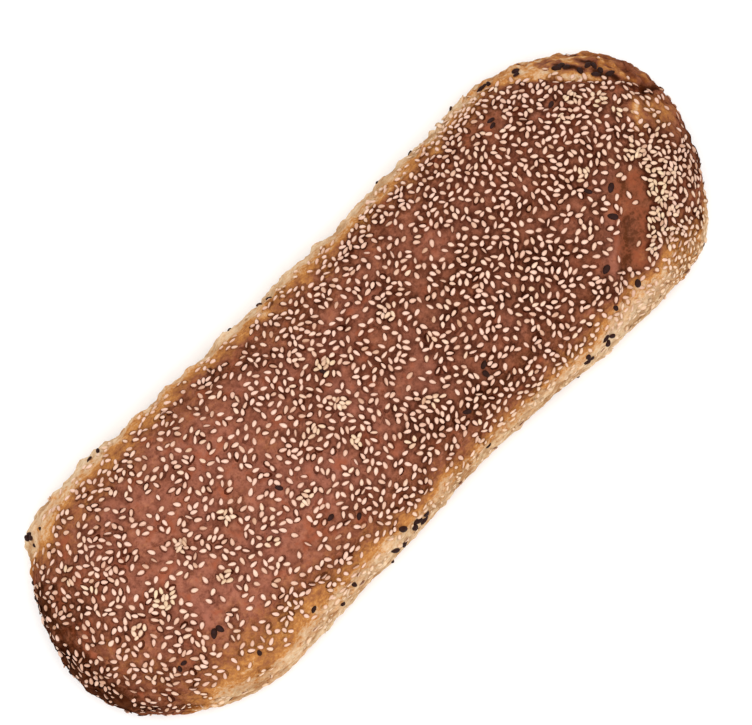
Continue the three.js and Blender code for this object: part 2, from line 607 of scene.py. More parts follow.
def crust_relief(points, ends):
    """How far the baked crust stands out from the plain form at each point, in millimetres,
    for a relief setting of 1 millimetre."""
    wall = wall_share(points, ends, (0.55, 0.75), (0.78, 0.92))
    back = backward(points, 0.55, 0.85)
    relief = sum(height * lumps(points, size, layer) for height, size, layer in CRUST_LUMPS)
    relief += wall * (1.1 * lumps(points * (0.8, 0.8, 1.15), 4.8, 5) + 1.4 * lumps(points, 3.0, 6))
    relief += 1.6 * ends * wall * lumps(points, 3.6, 8)
    blisters = smooth(lumps(points, 8, 7) + 0.5 * lumps(points, 3.2, 9), 0.0, 0.5)
    relief += wall * (blisters * (1.0 + 1.4 * back) - 1.5 * back - 0.9)
    relief += 1.2 * wall * back * lumps(points, 4.2, 10)
    swollen = smooth(lumps(points * (1, 1, 0.5), 10, 11), -0.15, 0.35)
    relief += 2.4 * wall * back * (1 - ends) * (swollen - 0.4)
    return relief


def crust_features(points):
    """Ridges, creases and the burst lip, in millimetres out from the plain form."""
    bent = ragged(points)
    lip = lip_share(points)
    folds = sum(height * near(bent, line, reach) for line, reach, height in FOLDS)
    blisters = lip * (0.65 * lumps(points, 4.6, 64) + 0.50 * lumps(points, 2.8, 65))
    undercut = -1.0 * fading(past_lip(points), 1.4) * smooth(lip, 0.0, 0.4)
    lip_crease = -2.0 * near(points, LIP_CREASE, 1.4)
    shrinkage = sum(near(points, corner, 20) for corner in SHRUNK_CORNERS)
    return folds + blisters + undercut + lip_crease - 0.8 * shrinkage


def side_depth(points, crown):
    """How deeply the sides and the crown are baked, from their profiles."""
    x, _, z = points.T
    front = front_share(points)
    height = z + 1.8 * lumps(points, 24, 31) + 1.7 * lumps(points, 8, 32) + 1.5 * lumps(points, 3.5, 37)
    height += front * np.interp(x / HALF_LENGTH, *FRONT_LINE)
    height += 3.4 * backward(points, 0.3, 0.7) * lumps(points, 6, 49)
    back_depth = np.interp(height / HEIGHT, *BACK_BAKE)
    depth = back_depth + (np.interp(height / HEIGHT, *FRONT_BAKE) - back_depth) * front

    # The nose half of the crown is baked darker than the tail half.
    depth += crown * 0.07 * noseward(points, -0.35, 0.3)
    depth += crown * 0.06 * lumps(points, 30, 33)
    depth -= crown * 0.05 * backward(points, 0.15, 0.60)
    depth += crown * 0.06 * front * noseward(points, -0.25, 0)
    depth += 0.045 * lumps(points, 9, 34) * (0.4 + crown)
    return depth + front * (1 - crown) * np.interp(x / HALF_LENGTH, *FRONT_TONE)


def rim_depth(points):
    """How deeply the end walls are baked: darkest half way up, and paler at the foot."""
    rim = 0.80 + 0.16 * (1 - upward(points, 0.50, 0.80)) + 0.09 * lumps(points, 9, 35)
    wandering = points[:, 2] + 3 * lumps(points, 14, 39)
    rim -= 0.42 * (1 - smooth(wandering, 0.06 * HEIGHT, 0.30 * HEIGHT))
    return rim - 0.24 * near(points, NOSE_GLOW, 11)


def lip_depth(points, bent):
    """How deeply the burst lip is baked: golden, with streaks and burnt blisters."""
    depth = 0.26 + 0.42 * noseward(points, 0.88, 0.97)
    depth = depth + 0.20 * lumps(points, 7, 36) - 0.1 * (1 - upward(points, 0.3, 0.6))
    depth += 0.34 * lumps(points * (0.5, 1.1, 1.1), 3.0, 45) * noseward(points, 0.72, 0.84)
    depth += 0.40 * (near(points, LIP_BURN, 7) * smooth(lumps(points, 4.4, 44), -0.05, 0.22))
    for start, end, reach in BURNT_BLISTERS:
        depth += 1.25 * near(bent, (start, end), reach)
    return depth


def bake_depth(points, ends):
    """How deeply the crust is baked: 0 on the pale walls to 1 on the darkest rims."""
    crown = upward(points, 0.72, 0.86)
    lip = lip_share(points)
    bare = bare_strip_share(points)
    bent = ragged(points)
    depth = side_depth(points, crown)

    # The front corner of the tail stays golden. The drift lies on dark crust, but its lower
    # end is golden too.
    depth += np.minimum(0.40 - depth, 0) * 0.85 * near(points, GOLDEN_TAIL_CORNER, 15)
    depth -= 0.13 * near(points, PALE_TAIL_SHOULDER, 12)
    depth -= 0.05 * near(points, place(0.66, -0.97), 24) * (1 - crown)
    depth += (0.86 - depth) * 0.75 * near(points, DRIFT_BED, 11) * upward(points, 0.45, 0.60)
    depth += (0.38 - depth) * 0.8 * near(points, DRIFT_END, 14)
    depth += 0.10 * near(points, BACK_SCORCH, 7)

    depth = depth + (rim_depth(points) - depth) * ends
    tail_back = near(points, place(-0.93, 0.62), 19)
    depth += 0.09 * tail_back + 0.16 * tail_back * lumps(points, 5, 46)
    depth += 0.10 * ends * smooth(-points[:, 0], 0.90 * HALF_LENGTH, 0.97 * HALF_LENGTH)
    foot = points[:, 2] + 2 * lumps(points, 10, 40)
    depth += 0.30 * (1 - smooth(foot, 0.02 * HEIGHT, 0.12 * HEIGHT)) * (1 - ends)
    depth = depth + (lip_depth(points, bent) - depth) * lip
    depth += (0.79 - depth) * bare * 0.92 + 0.11 * bare * lumps(points, 5, 38)

    depth -= 0.34 * near(points, LIP_SEAM, 1.9) * (0.75 + 0.5 * lumps(points, 3.0, 47))
    depth -= 0.26 * near(points, place(0.88, 0.0), 9) * (1 + lumps(points, 5, 48))
    # Marks in the baking, with painted shade in the creases of the lip and the fold
    for mark, reach, change in BAKE_AND_SHADE_MARKS:
        depth += change * near(points, mark, reach)
    for line, reach, change in FOLD_SHADE_AND_BAKE:
        depth += change * near(bent, line, reach)
    depth += 0.14 * fading(past_lip(points), 1.3) * smooth(lip, 0.0, 0.5)
    return np.clip(depth, -0.1, 1.25)


def crust_shares(points, normals):
    """What the crust's material reads, by name, for each point."""
    ends = end_share(points)
    bare = bare_strip_share(points)
    sole = smooth(-normals[:, 2], 0.6, 0.95) * (1 - smooth(points[:, 2], 1.0, 4.0))
    depth = bake_depth(points, ends)
    underside = 0.46 + 0.10 * lumps(points, 18, 41) + 0.08 * lumps(points, 5, 42)
    underside += 0.18 * smooth(np.abs(points[:, 0]), 0.7 * HALF_LENGTH, 0.95 * HALF_LENGTH)
    # A rosy tint with a painted sheen on the top of the crown, most on the tail half and along the fold's
    # ridge, and none in its crease.
    blush_and_sheen = upward(points, 0.80, 0.95) * (1 - ends) * (0.50 + 0.70 * (1 - noseward(points, -0.35, 0.25)))
    blush_and_sheen *= 0.85 + 0.5 * lumps(points, 16, 43)
    blush_and_sheen *= 1 - bare
    blush_and_sheen += 0.7 * near(points, FOLD_RIDGE, 3.2)
    blush_and_sheen *= 1 - near(points, FOLD_CREASE, 2.4)
    # Painted shade in the dents of the walls
    crevice_shade = smooth(-crust_relief(points, ends), 0.1, 1.4 + 2.2 * backward(points, 0.55, 0.85))
    floury = np.maximum(1 - upward(points, 0.35, 0.70), sole)
    return {
        "bake_depth": depth + (underside - depth) * sole,
        "blush_and_sheen": np.clip(blush_and_sheen, 0, 1),
        "crevice_shade": crevice_shade * wall_share(points, ends, (0.35, 0.70), (0.75, 0.92)),
        "flour": np.clip(0.25 + 0.75 * floury, 0, 1),
        "bare": np.maximum(bare, 0.85 * lip_share(points)),
        # Painted shade round the seeds, which shade_crust sets
        "seed_shade": np.zeros(len(points)),
    }


def crust_ramp(shading, settings, depth):
    """The crust's colour by how deeply it is baked, from the pale walls to the dark rims."""
    wall, golden = Vector(settings.wall_colour), Vector(settings.golden_colour)
    russet, char = Vector(settings.russet_colour), Vector(settings.char_colour)
    ramp = shading.add("ShaderNodeValToRGB", {"Fac": depth})
    stops = ramp.color_ramp.elements
    stops[0].position, stops[0].color = 0.0, opaque(wall)
    stops[1].position, stops[1].color = 1.0, opaque(char)
    for position, colour in (
        (0.20, wall.lerp(golden, 0.52)),
        (0.33, golden),
        (0.49, golden.lerp(russet, 0.55)),
        (0.72, russet),
        (0.86, russet.lerp(char, 0.45)),
    ):
        stops.new(position).color = opaque(colour)
    return ramp.outputs["Color"]


def crust_material(settings):
    """Baked crust, from floury pale walls to a russet crown with a soft shine."""
    shading = Shading("baked_crust")
    noise_of, spread, times, number = shading.noise, shading.spread, shading.times, shading.number
    depth, bare, flour = (shading.stored(name) for name in ("bake_depth", "bare", "flour"))
    off_strip = spread(bare, 0.0, 1.0, 1.0, 0.15)
    coarse = spread(noise_of(9, 4.0, 0.6), 0.28, 0.72, -0.13, 0.13)
    fine = spread(noise_of(1.7, 5.0, 0.7), 0.28, 0.72, -0.21, 0.21)
    mottled = number("ADD", number("ADD", depth, coarse), fine)

    # Where each patch of colour lies. Most keep to the crown, or to the floury walls.
    crown = times(spread(depth, 0.50, 0.70), spread(depth, 0.80, 0.95, 1.0, 0.0), off_strip)
    hue = noise_of(7.5, 4.0, 0.6)
    # The rosy tint and painted sheen on the top of the crown
    blush_and_sheen = times(shading.stored("blush_and_sheen"), noise_of(14, 3.0))
    scorch = spread(noise_of(3.0, 6.0, 0.75), 0.47, 0.66, 0.0, 0.9)
    scorch = times(scorch, spread(depth, 0.3, 0.6), off_strip)
    specks = spread(noise_of(1.6, 3.0, 0.6), 0.62, 0.70, 0.0, 0.55)
    streaks = shading.add("ShaderNodeMapping", {"Vector": shading.where, "Scale": (0.5, 0.5, 1.0)})
    torn = noise_of(2.0, 6.0, 0.75, streaks.outputs["Vector"])
    torn = times(spread(torn, 0.46, 0.66, 0.0, 0.85), flour)
    tan = times(spread(noise_of(2.6, 5.0, 0.7), 0.53, 0.66, 0.0, 0.55), crown)
    ruddy = times(spread(hue, 0.54, 0.66, 0.0, 0.70), crown)
    maroon = times(spread(hue, 0.46, 0.34, 0.0, 0.55), crown)
    crumb = times(spread(noise_of(3.4, 5.0, 0.7), 0.35, 0.65), flour)
    olive = times(spread(noise_of(8.0, 4.0, 0.6), 0.42, 0.70, 0.0, 0.75), flour)
    rust = times(spread(bare, 0.86, 1.0, 0.0, 0.75), spread(mottled, 0.70, 0.95, 1.0, 0.1))
    rust = times(rust, spread(noise_of(5.0, 4.0, 0.6), 0.32, 0.54))
    flecks = times(spread(noise_of(0.9, 2.0), 0.60, 0.74, 0.0, 0.35), flour)
    flecks = times(flecks, spread(depth, 0.3, 0.65, 1.0, 0.03))
    # Painted shade round the seeds, added to the darkening of the burnt crust
    shade = number("ADD", shading.stored("seed_shade"), spread(depth, 0.97, 1.25, 0.0, 0.7), clamp=True)

    coats = (
        (blush_and_sheen, settings.blush_and_sheen_colour, "MIX"),
        (scorch, SCORCH_TINT, "MULTIPLY"),
        (specks, SPECK_TINT, "MULTIPLY"),
        # Painted shade in the dents of the walls
        (shading.stored("crevice_shade"), CREVICE_SHADE_TINT, "MULTIPLY"),
        (torn, TORN_TINT, "MULTIPLY"),
        (tan, settings.tan_colour, "MIX"),
        (ruddy, settings.ruddy_colour, "MIX"),
        (maroon, settings.maroon_colour, "MIX"),
        (crumb, CRUMB_TINT, "MULTIPLY"),
        (olive, OLIVE_TINT, "MULTIPLY"),
        (rust, settings.rust_colour, "MIX"),
        (flecks, FLOUR_COLOUR, "MIX"),
        # Painted shade round the seeds, and the burnt crust
        (shade, SHADE_TINT, "MULTIPLY"),
    )
    dull = spread(depth, 0.25, 0.8, 0.82, 0.50)
    patchy = spread(noise_of(6, 3.0), 0.3, 0.7, -0.07, 0.07)
    leather = shading.add(
        "ShaderNodeTexVoronoi",
        {"Vector": shading.where, "Scale": 1 / (2.4 * MM), "Randomness": 1.0},
        feature="SMOOTH_F1",
    ).outputs["Distance"]
    height = number("ADD", times(leather, 0.5), times(noise_of(0.7, 3.0, 0.6), 0.5))
    height = number("SUBTRACT", height, times(torn, 0.9))
    looks = {
        "Base Color": shading.coated(crust_ramp(shading, settings, mottled), coats),
        "Roughness": number("ADD", number("ADD", dull, patchy), times(bare, -0.12), clamp=True),
        "Specular IOR Level": 0.0,
        "Coat Weight": spread(bare, 0.0, 1.0, 0.02, 0.06),
        "Coat Roughness": 0.32,
        "Coat IOR": 1.4,
        "Normal": shading.bumpy(height, 0.55, 0.35),
    }
    return shading.finished(looks)


def remade_form(grid):
    """The CAD solid's form as a fine even mesh. grid is the width of its cells."""
    form = bmesh.new()
    form.from_mesh(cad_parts["loaf"].data)
    bmesh.ops.remove_doubles(form, verts=form.verts, dist=0.01 * MM)
    bmesh.ops.join_triangles(
        form,
        faces=form.faces,
        angle_face_threshold=math.radians(50),
        angle_shape_threshold=math.radians(60),
    )
    mesh = new_mesh("crust_form", form)
    blank = new_object("crust_form", mesh)
    subdivision = blank.modifiers.new("Even Out", "SUBSURF")
    subdivision.levels = subdivision.render_levels = 2
    remesh = blank.modifiers.new("Fine Grid", "REMESH")
    remesh.mode = "VOXEL"
    remesh.voxel_size = grid
    smoothing = blank.modifiers.new("Relax", "SMOOTH")
    smoothing.factor = 0.5
    smoothing.iterations = 4
    graph = bpy.context.evaluated_depsgraph_get()
    remade = bpy.data.meshes.new_from_object(blank.evaluated_get(graph))
    bpy.data.objects.remove(blank)
    bpy.data.meshes.remove(mesh)
    return remade


class LOAF_OT_crust(bpy.types.Operator):
    """Bake the crust: a fine mesh on the loaf's form, with its lumps, fold and burst lip"""

    bl_idname = "loaf.crust"
    bl_label = "Bake Crust"

    def execute(self, context):
        settings = context.scene.seeded_loaf.crust
        crust = remade_form(settings.grid)
        crust.name = "loaf_crust"
        points = vectors(crust.vertices) / MM
        normals = vectors(crust.vertex_normals, "vector")
        out = crust_relief(points, end_share(points)) * settings.relief / MM + crust_features(points)
        above_sole = smooth(points[:, 2], 0.7, 6.0)
        points += normals * (out * above_sole)[:, None]
        points[:, 2] = np.where(points[:, 2] < FLAT_BELOW, 0.0, points[:, 2])
        crust.vertices.foreach_set("co", (points * MM).astype(np.float32).ravel())
        crust.update()
        for name, values in crust_shares(points, normals).items():
            set_share(crust, name, values)

        piece = new_piece("loaf_crust", crust, crust_material(settings))
        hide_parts("loaf")
        return {"FINISHED"}


# ---- Sesame ----


def seed_density(points):
    """How thickly the crust is seeded, as a share of the crown's even density."""
    z = points[:, 2]
    ends = end_share(points)
    sides = 1 - ends
    front = front_share(points)
    nose_back = noseward(points, 0.35, 0.50) * backward(points, 0.4, 0.7)
    floor_line = (0.58 - 0.28 * front - 0.14 * nose_back) * HEIGHT
    floor_line += (0.22 * HEIGHT - floor_line) * ends
    share = smooth(z + 2.5 * lumps(points, 12, 51), floor_line - 2.0, floor_line + 4.0)
    share = np.maximum(share, 0.045 * upward(points, 0.15, 0.3))
    share *= 0.89 + 0.25 * noseward(points, -0.30, 0.25)
    share *= 1 + 0.24 * lumps(points, 18, 52) + 0.10 * lumps(points, 7, 53)

    # The walls hold fewer seeds than the crown.
    share *= 1 - (0.5 - 0.14 * front - 0.40 * nose_back) * (1 - upward(points, 0.70, 0.82)) * sides
    share *= 1 - 0.3 * (1 - upward(points, 0.45, 0.6)) * sides
    share *= 1 - 0.48 * (1 - upward(points, 0.45, 0.88)) * ends
    for spot, reach in BARE_SPOTS:
        share *= 1 - 0.92 * near(points, spot, reach)

    # The drift is thick but for the rim of the nose, and seeds were swept along the lip.
    rim = noseward(points, 0.84, 0.93) * backward(points, -0.66, -0.50)
    rim *= 1 - backward(points, 0.10, 0.35)
    drift = near(points, SEED_DRIFT, SEED_DRIFT_REACH) * (1 - 0.9 * rim)
    share *= 1 - 0.7 * rim
    share = share * (1 - drift) + drift * 1.9 * upward(points, 0.30, 0.45)
    swept = fading(past_lip(points) + 3.5, 3.0) * noseward(points, 0.6, 0.7)
    share *= 1 + 0.9 * swept * upward(points, 0.7, 0.8)
    share *= 1 - 0.90 * bare_strip_share(points)
    share *= 1 - 0.985 * lip_share(points)
    return np.clip(share, 0, None) * smooth(z, 6, 10)


class RoomKeeper:
    """Keeps the circles of the seeds that are laid, and tells whether new ones are clear."""

    CELL = 5.0  # width of a look-up cell in millimetres
    AROUND = tuple(itertools.product((-1, 0, 1), repeat=3))

    def __init__(self):
        self.cells = {}

    def cell(self, point):
        return tuple(int(math.floor(c / self.CELL)) for c in point)

    def is_clear(self, circles, gap):
        """Whether circles, as (centre, radius) in millimetres, keep clear of those laid."""
        for centre, radius in circles:
            i, j, k = self.cell(centre)
            for a, b, c in self.AROUND:
                for other, other_radius in self.cells.get((i + a, j + b, k + c), ()):
                    if (centre - other).length < (radius + other_radius) * gap:
                        return False
        return True

    def keep(self, circles):
        for circle in circles:
            self.cells.setdefault(self.cell(circle[0]), []).append(circle)


class SeedBed:
    """The crust's surface, to lay seeds on."""

    def __init__(self, mesh):
        self.tree = BVHTree.FromPolygons(
            [v.co.copy() for v in mesh.vertices],
            [tuple(p.vertices) for p in mesh.polygons],
        )
        self.corners = [p.vertices[0] for p in mesh.polygons]

    def nearest_vertex(self, point):
        """A corner of the crust's mesh by a point in millimetres."""
        _, _, polygon, _ = self.tree.find_nearest(Vector(point) * MM)
        return self.corners[polygon]

    def surface(self, point):
        """The nearest spot on the crust to a point in millimetres, and the way out of it."""
        spot, normal, _, _ = self.tree.find_nearest(Vector(point) * MM)
        return spot / MM, normal


def turned(normal, heading, pitch, roll):
    """Axes of a seed that lies on a surface: its length, its width and its way up."""
    side = normal.cross(Vector((0, 0, 1)) if abs(normal.z) < 0.9 else Vector((1, 0, 0))).normalized()
    frame_of_surface = Matrix((side, normal.cross(side), normal)).transposed()
    lie = Matrix.Rotation(heading, 3, "Z") @ Matrix.Rotation(pitch, 3, "Y") @ Matrix.Rotation(roll, 3, "X")
    return frame_of_surface @ lie


def teardrop(name, size, point_share, rings, sides):
    """A small closed seed mesh, pointed towards +X, with its middle at the origin. size is
    its length, width and thickness."""
    seed = bmesh.new()
    bmesh.ops.create_uvsphere(seed, u_segments=sides, v_segments=rings, radius=0.5)
    bmesh.ops.rotate(seed, verts=seed.verts, matrix=Matrix.Rotation(math.pi / 2, 3, "Y"))
    for vert in seed.verts:
        taper = 1 - point_share * (vert.co.x + 0.5) ** 2
        vert.co.y *= taper
        vert.co.z *= taper
        vert.co.x += 0.06 * point_share
    bmesh.ops.scale(seed, verts=seed.verts, vec=Vector(size))
    return new_mesh(name, seed)


def copies(name, template, matrices):
    """One mesh that holds a copy of the template at each matrix, in metres."""
    crowd = bmesh.new()
    for matrix in matrices:
        copy = template.copy()
        copy.transform(matrix)
        crowd.from_mesh(copy)
        bpy.data.meshes.remove(copy)
    return new_mesh(name, crowd)


def lay_matrix(spot, axes, scale):
    """Where a seed lies, from its middle in millimetres, its axes and its scale."""
    return Matrix.Translation(spot * MM) @ axes.to_4x4() @ Matrix.Diagonal((*scale, 1))


def seed_circles(spot, axes, length, width):
    """Two circles that cover a seed's outline, to keep seeds off each other."""
    arm = axes.col[0] * (length - width) * 0.42
    return [(spot + arm, width * 0.46), (spot - arm, width * 0.5)]


# A seed that is laid: is_flat where it lies on the crust, and heaped from 0 to 1
Seed = namedtuple("Seed", "matrix middle axes is_flat heaped")


class SesameScatter:
    """Lays sesame seeds on the crust: the heaps first, then the flat ones, then the drift."""

    FLAT_LIFT = 0.5  # a seed lifted by fewer millimetres than this lies on the crust
    FLAT_TRIES = 12
    HEAP_TRIES = 8

    def __init__(self, bed, settings):
        self.bed = bed
        self.room = RoomKeeper()
        self.random = np.random.default_rng(settings.seed)
        self.length = settings.length / MM
        self.width = settings.width / MM
        self.laid = []

    def leave_room(self, grain_settings):
        """Keeps the sesame off the dark grains."""
        for middle, axes, scale in grain_layout(self.bed, grain_settings):
            self.room.keep(grain_circles(middle, axes, scale, grain_settings))

    def lay(self, spot, normal, lift, pitch, roll, gap, heaped=0.0):
        """Lays one seed if there is room for it. Angles are in radians."""
        heading = self.random.uniform(0, 2 * math.pi)
        axes = turned(normal, heading, pitch, roll)
        middle = spot + normal * lift
        scale = 1 + 0.08 * self.random.standard_normal(3)
        circles = seed_circles(middle, axes, self.length * scale[0], self.width * scale[1])
        if not self.room.is_clear(circles, gap):
            return False
        self.room.keep(circles)
        self.laid.append(Seed(lay_matrix(middle, axes, scale), middle, axes, lift < self.FLAT_LIFT, heaped))
        return True

    def lay_flat(self, mesh, density):
        """Scatters the seeds that lie on the crust itself."""
        mesh.calc_loop_triangles()
        corners = np.empty(len(mesh.loop_triangles) * 3, np.int32)
        mesh.loop_triangles.foreach_get("vertices", corners)
        triangles = (vectors(mesh.vertices) / MM)[corners.reshape(-1, 3)]
        centres = triangles.mean(axis=1)
        edges = np.cross(triangles[:, 1] - triangles[:, 0], triangles[:, 2] - triangles[:, 0])
        areas = np.linalg.norm(edges, axis=1) / 2
        wanted = areas / SQUARE_CENTIMETRE * density * seed_density(centres)
        chosen = self.random.choice(len(wanted), size=int(wanted.sum()), p=wanted / wanted.sum())
        for turn, index in enumerate(chosen):
            style = self.random.random()
            tilt = 0.12 * self.random.standard_normal()
            roll = 0.18 * self.random.standard_normal()
            buried = 0.38 * (1 - smooth(centres[index][2], 0.45 * HEIGHT, 0.75 * HEIGHT))
            lift = 0.20 - buried
            if style < ON_EDGE_SHARE:
                roll = self.random.choice((-1, 1)) * self.random.uniform(1.0, 1.4)
                lift = 0.45
            elif style < ON_EDGE_SHARE + LEANING_SHARE:
                roll = self.random.choice((-1, 1)) * self.random.uniform(0.35, 0.8)
                lift = 0.35
            gap = 1.85 - 0.95 * turn / len(chosen)
            for attempt in range(self.FLAT_TRIES):
                jitter = 0.5 * attempt * self.random.standard_normal(3)
                spot, normal = self.bed.surface(centres[index] + jitter)
                if self.lay(spot, normal, lift, tilt, roll, max(gap - 0.04 * attempt, 0.88)):
                    break

    def pile_drift(self, count):
        """Lays more seeds over those in the drift by the fold."""
        start, end = SEED_DRIFT
        for _ in range(count):
            spot = start + (end - start) * self.random.uniform(0.05, 1.05)
            spot = spot + 0.52 * SEED_DRIFT_REACH * self.random.standard_normal(2)
            if bare_strip_share(np.array([[*spot, HEIGHT]]))[0] > 0.3:
                continue
            foot, normal = self.bed.surface((*spot, 1.1 * HEIGHT))
            pitch, roll = self.random.uniform(-0.45, 0.45, 2)
            self.lay(foot, normal, self.random.uniform(0.75, 1.35), pitch, roll, 0.72, heaped=0.6)

    def heap_up(self):
        """Lays each heap: a tight bed of seeds, and then more on top of them."""
        for along, across, reach, count in SEED_HEAPS:
            x, y = place(along, across)
            for step in range(2 * count):
                on_top = step >= count
                for _ in range(self.HEAP_TRIES):
                    bearing = self.random.uniform(0, 2 * math.pi)
                    away = reach * (0.62 if on_top else 0.95) * math.sqrt(self.random.random())
                    aim = (x + away * math.cos(bearing), y + away * math.sin(bearing), 1.2 * HEIGHT)
                    foot, normal = self.bed.surface(aim)
                    lift = self.random.uniform(0.85, 1.5) if on_top else self.random.uniform(0.2, 0.45)
                    pitch = self.random.uniform(-0.35, 0.35)
                    roll = self.random.uniform(-0.5, 0.5)
                    if self.lay(foot, normal, lift, pitch, roll, 0.80, heaped=1.0):
                        break


def sesame_material(settings):
    """Hulled sesame: a warm cream skin, with painted shade on the flanks and at the foot of each seed."""
    shading = Shading("sesame_skin")
    stored = shading.stored
    cloudy = shading.spread(shading.noise(0.9, 2.0), 0.35, 0.7, 0.0, 0.22)
    coats = (
        (stored("yellow"), settings.yellow_colour, "MIX"),
        (stored("tone"), settings.toasted_colour, "MIX"),
        (stored("dusty"), settings.dusty_colour, "MIX"),
        (cloudy, settings.toasted_colour, "MIX"),
        # Painted shade: browner on each seed's flanks, and dark on its lower half
        (shading.times(stored("rim"), 0.55), SEED_FLANK_SHADE, "MIX"),
        (stored("foot"), SEED_FOOT_SHADE, "MIX"),
    )
    looks = {
        "Base Color": shading.coated(opaque(settings.colour), coats),
        "Roughness": 0.42,
        "Specular IOR Level": 0.42,
        "Normal": shading.bumpy(shading.noise(0.35, 2.0), 0.25, 0.08),
    }
    return shading.finished(looks)


def split_along(seeds):
    """The seeds of each stretch of the loaf, with the stretch's name."""
    for stretch, start, end in STRETCHES:
        yield stretch, [seed for seed in seeds if start <= seed.middle.x / HALF_LENGTH < end]


def shade_crust(crust, seeds):
    """Paints shade on the crust near the seeds, darker where they crowd, and returns how crowded each point
    is, 0 to 1.
    """
    spots = []
    for seed in seeds:
        arm = seed.axes.col[0] * 0.9
        spots.extend((seed.middle - arm, seed.middle, seed.middle + arm))
    tree = KDTree(len(spots))
    for index, spot in enumerate(spots):
        tree.insert(spot, index)
    tree.balance()
    points = vectors(crust.vertices) / MM
    reach = np.array([tree.find(p)[2] for p in points.tolist()])
    crowding = np.array([len(tree.find_range(p, CROWD_REACH)) for p in points.tolist()])
    crowd = smooth(crowding, 3.0, 9.0)
    # The painted shade is darker where seeds crowd, and lighter on the tail half and on pale crust.
    strength = (0.12 + 0.66 * crowd**1.5) * (0.62 + 0.38 * noseward(points, -0.45, 0.1))
    strength *= 0.25 + 0.75 * smooth(get_share(crust, "bake_depth"), 0.10, 0.50)
    set_share(crust, "seed_shade", strength * (1 - smooth(reach, 0.9 + 0.3 * crowd, 2.4)))
    return crowd


def add_shadow_rings(crust, scatter, crowd, settings):
    """Adds a ring of crust under each seed which lies on the crust, with painted shade that darkens the
    crust round the seed.
    """
    size = (1.32 * settings.length, 1.42 * settings.width, 0.55 * settings.thickness)
    template = teardrop("seed_shadow_ring", size, 0.3, 4, 8)
    random = scatter.random
    names = ("bake_depth", "blush_and_sheen", "flour", "bare", "crevice_shade")
    shares = {name: get_share(crust, name) for name in names}
    for stretch, part in split_along([seed for seed in scatter.laid if seed.is_flat]):
        matrices = []
        for seed in part:
            foot, normal = scatter.bed.surface(seed.middle)
            lying = seed.axes.col[0] - normal * seed.axes.col[0].dot(normal)
            lying.normalize()
            axes = Matrix((lying, normal.cross(lying), normal)).transposed()
            aside = axes @ Vector((*(0.26 * random.standard_normal(2)), -0.05))
            matrices.append(lay_matrix(foot + aside, axes, random.uniform(0.84, 1.22, 3)))
        mesh = copies("shadow_rings_" + stretch, template, matrices)
        nearest = [scatter.bed.nearest_vertex(seed.middle) for seed in part]
        for name, values in shares.items():
            set_share(mesh, name, np.repeat(values[nearest], len(template.vertices)))
        browned = smooth(shares["bake_depth"][nearest], 0.05, 0.55)
        # How dark each ring's painted shade is: darker on browned crust and where seeds crowd.
        shades = random.uniform(0.45, 1.0, len(part)) * (0.12 + 0.88 * browned)
        shades *= 0.40 + 0.60 * crowd[nearest]
        set_share(mesh, "seed_shade", np.repeat(shades, len(template.vertices)))
        new_piece(mesh.name, mesh, crust.materials[0])
    bpy.data.meshes.remove(template)


def add_seeds(scatter, settings):
    """Adds the seeds, with what their material reads."""
    random = scatter.random
    size = (settings.length, settings.width, settings.thickness)
    template = teardrop("sesame_seed", size, 0.42, 6, 8)
    side = vectors(template.vertices)[:, 2] / settings.thickness
    material = sesame_material(settings)
    for stretch, part in split_along(scatter.laid):
        mesh = copies("sesame_" + stretch, template, [seed.matrix for seed in part])
        middles = np.array([seed.middle for seed in part])
        heaped = np.array([seed.heaped for seed in part])
        ends = end_share(middles)
        tones = random.beta(1.15, 3.5, len(part))
        tones += random.uniform(0.0, 0.7, len(part)) * (1 - upward(middles, 0.62, 0.90)) * ends
        yellow = 0.02 + 0.3 * lumps(middles, 14, 71) + 0.65 * heaped
        yellow += 0.3 * near(middles, SEED_DRIFT, 15)
        yellow += 0.15 * random.standard_normal(len(part))
        dusty = 0.85 * (1 - upward(middles, 0.48, 0.72)) * (1 - ends)
        for name, values in (("yellow", yellow), ("dusty", dusty), ("tone", tones)):
            set_share(mesh, name, np.repeat(np.clip(values, 0, 1), len(template.vertices)))
        # Painted shade on each seed: the foot is its lower half, and the rim is its flanks up towards the
        # top.
        set_share(mesh, "foot", np.tile(1 - smooth(side, -0.42, 0.10), len(part)))
        set_share(mesh, "rim", np.tile(1 - smooth(side, 0.02, 0.40), len(part)))
        new_piece(mesh.name, mesh, material)
    bpy.data.meshes.remove(template)


class LOAF_OT_sesame(bpy.types.Operator):
    """Scatter the sesame over the crown and the ends, and paint shade on the crust between the seeds"""

    bl_idname = "loaf.sesame"
    bl_label = "Scatter Sesame"

    def execute(self, context):
        settings = context.scene.seeded_loaf.sesame
        crust = bpy.data.objects["loaf_crust"].data
        scatter = SesameScatter(SeedBed(crust), settings)
        scatter.leave_room(context.scene.seeded_loaf.grain)
        scatter.heap_up()
        scatter.lay_flat(crust, settings.density)
        scatter.pile_drift(DRIFT_SEEDS)

        crowd = shade_crust(crust, scatter.laid)
        add_shadow_rings(crust, scatter, crowd, settings)
        add_seeds(scatter, settings)
        return {"FINISHED"}


# ---- Dark grains ----


def grain_material(settings):
    """Dark grains: near black with a faint purple and a soft shine."""
    shading = Shading("dark_grain_skin")
    coats = (
        (shading.spread(shading.noise(1.4, 2.0), 0.35, 0.7), GRAIN_PATCH_COLOUR, "MIX"),
        (shading.stored("foot"), GRAIN_FOOT_COLOUR, "MIX"),
    )
    looks = {
        "Base Color": shading.coated(opaque(settings.colour), coats),
        "Roughness": 0.55,
        "Specular IOR Level": 0.02,
        "Normal": shading.bumpy(shading.noise(0.5, 2.0), 0.5, 0.12),
    }
    return shading.finished(looks)


def grain_circles(middle, axes, scale, settings):
    """Two circles that cover a grain's outline."""
    length = settings.length / MM
    return seed_circles(middle, axes, length * scale[0], GRAIN_WIDTH * length * scale[1])


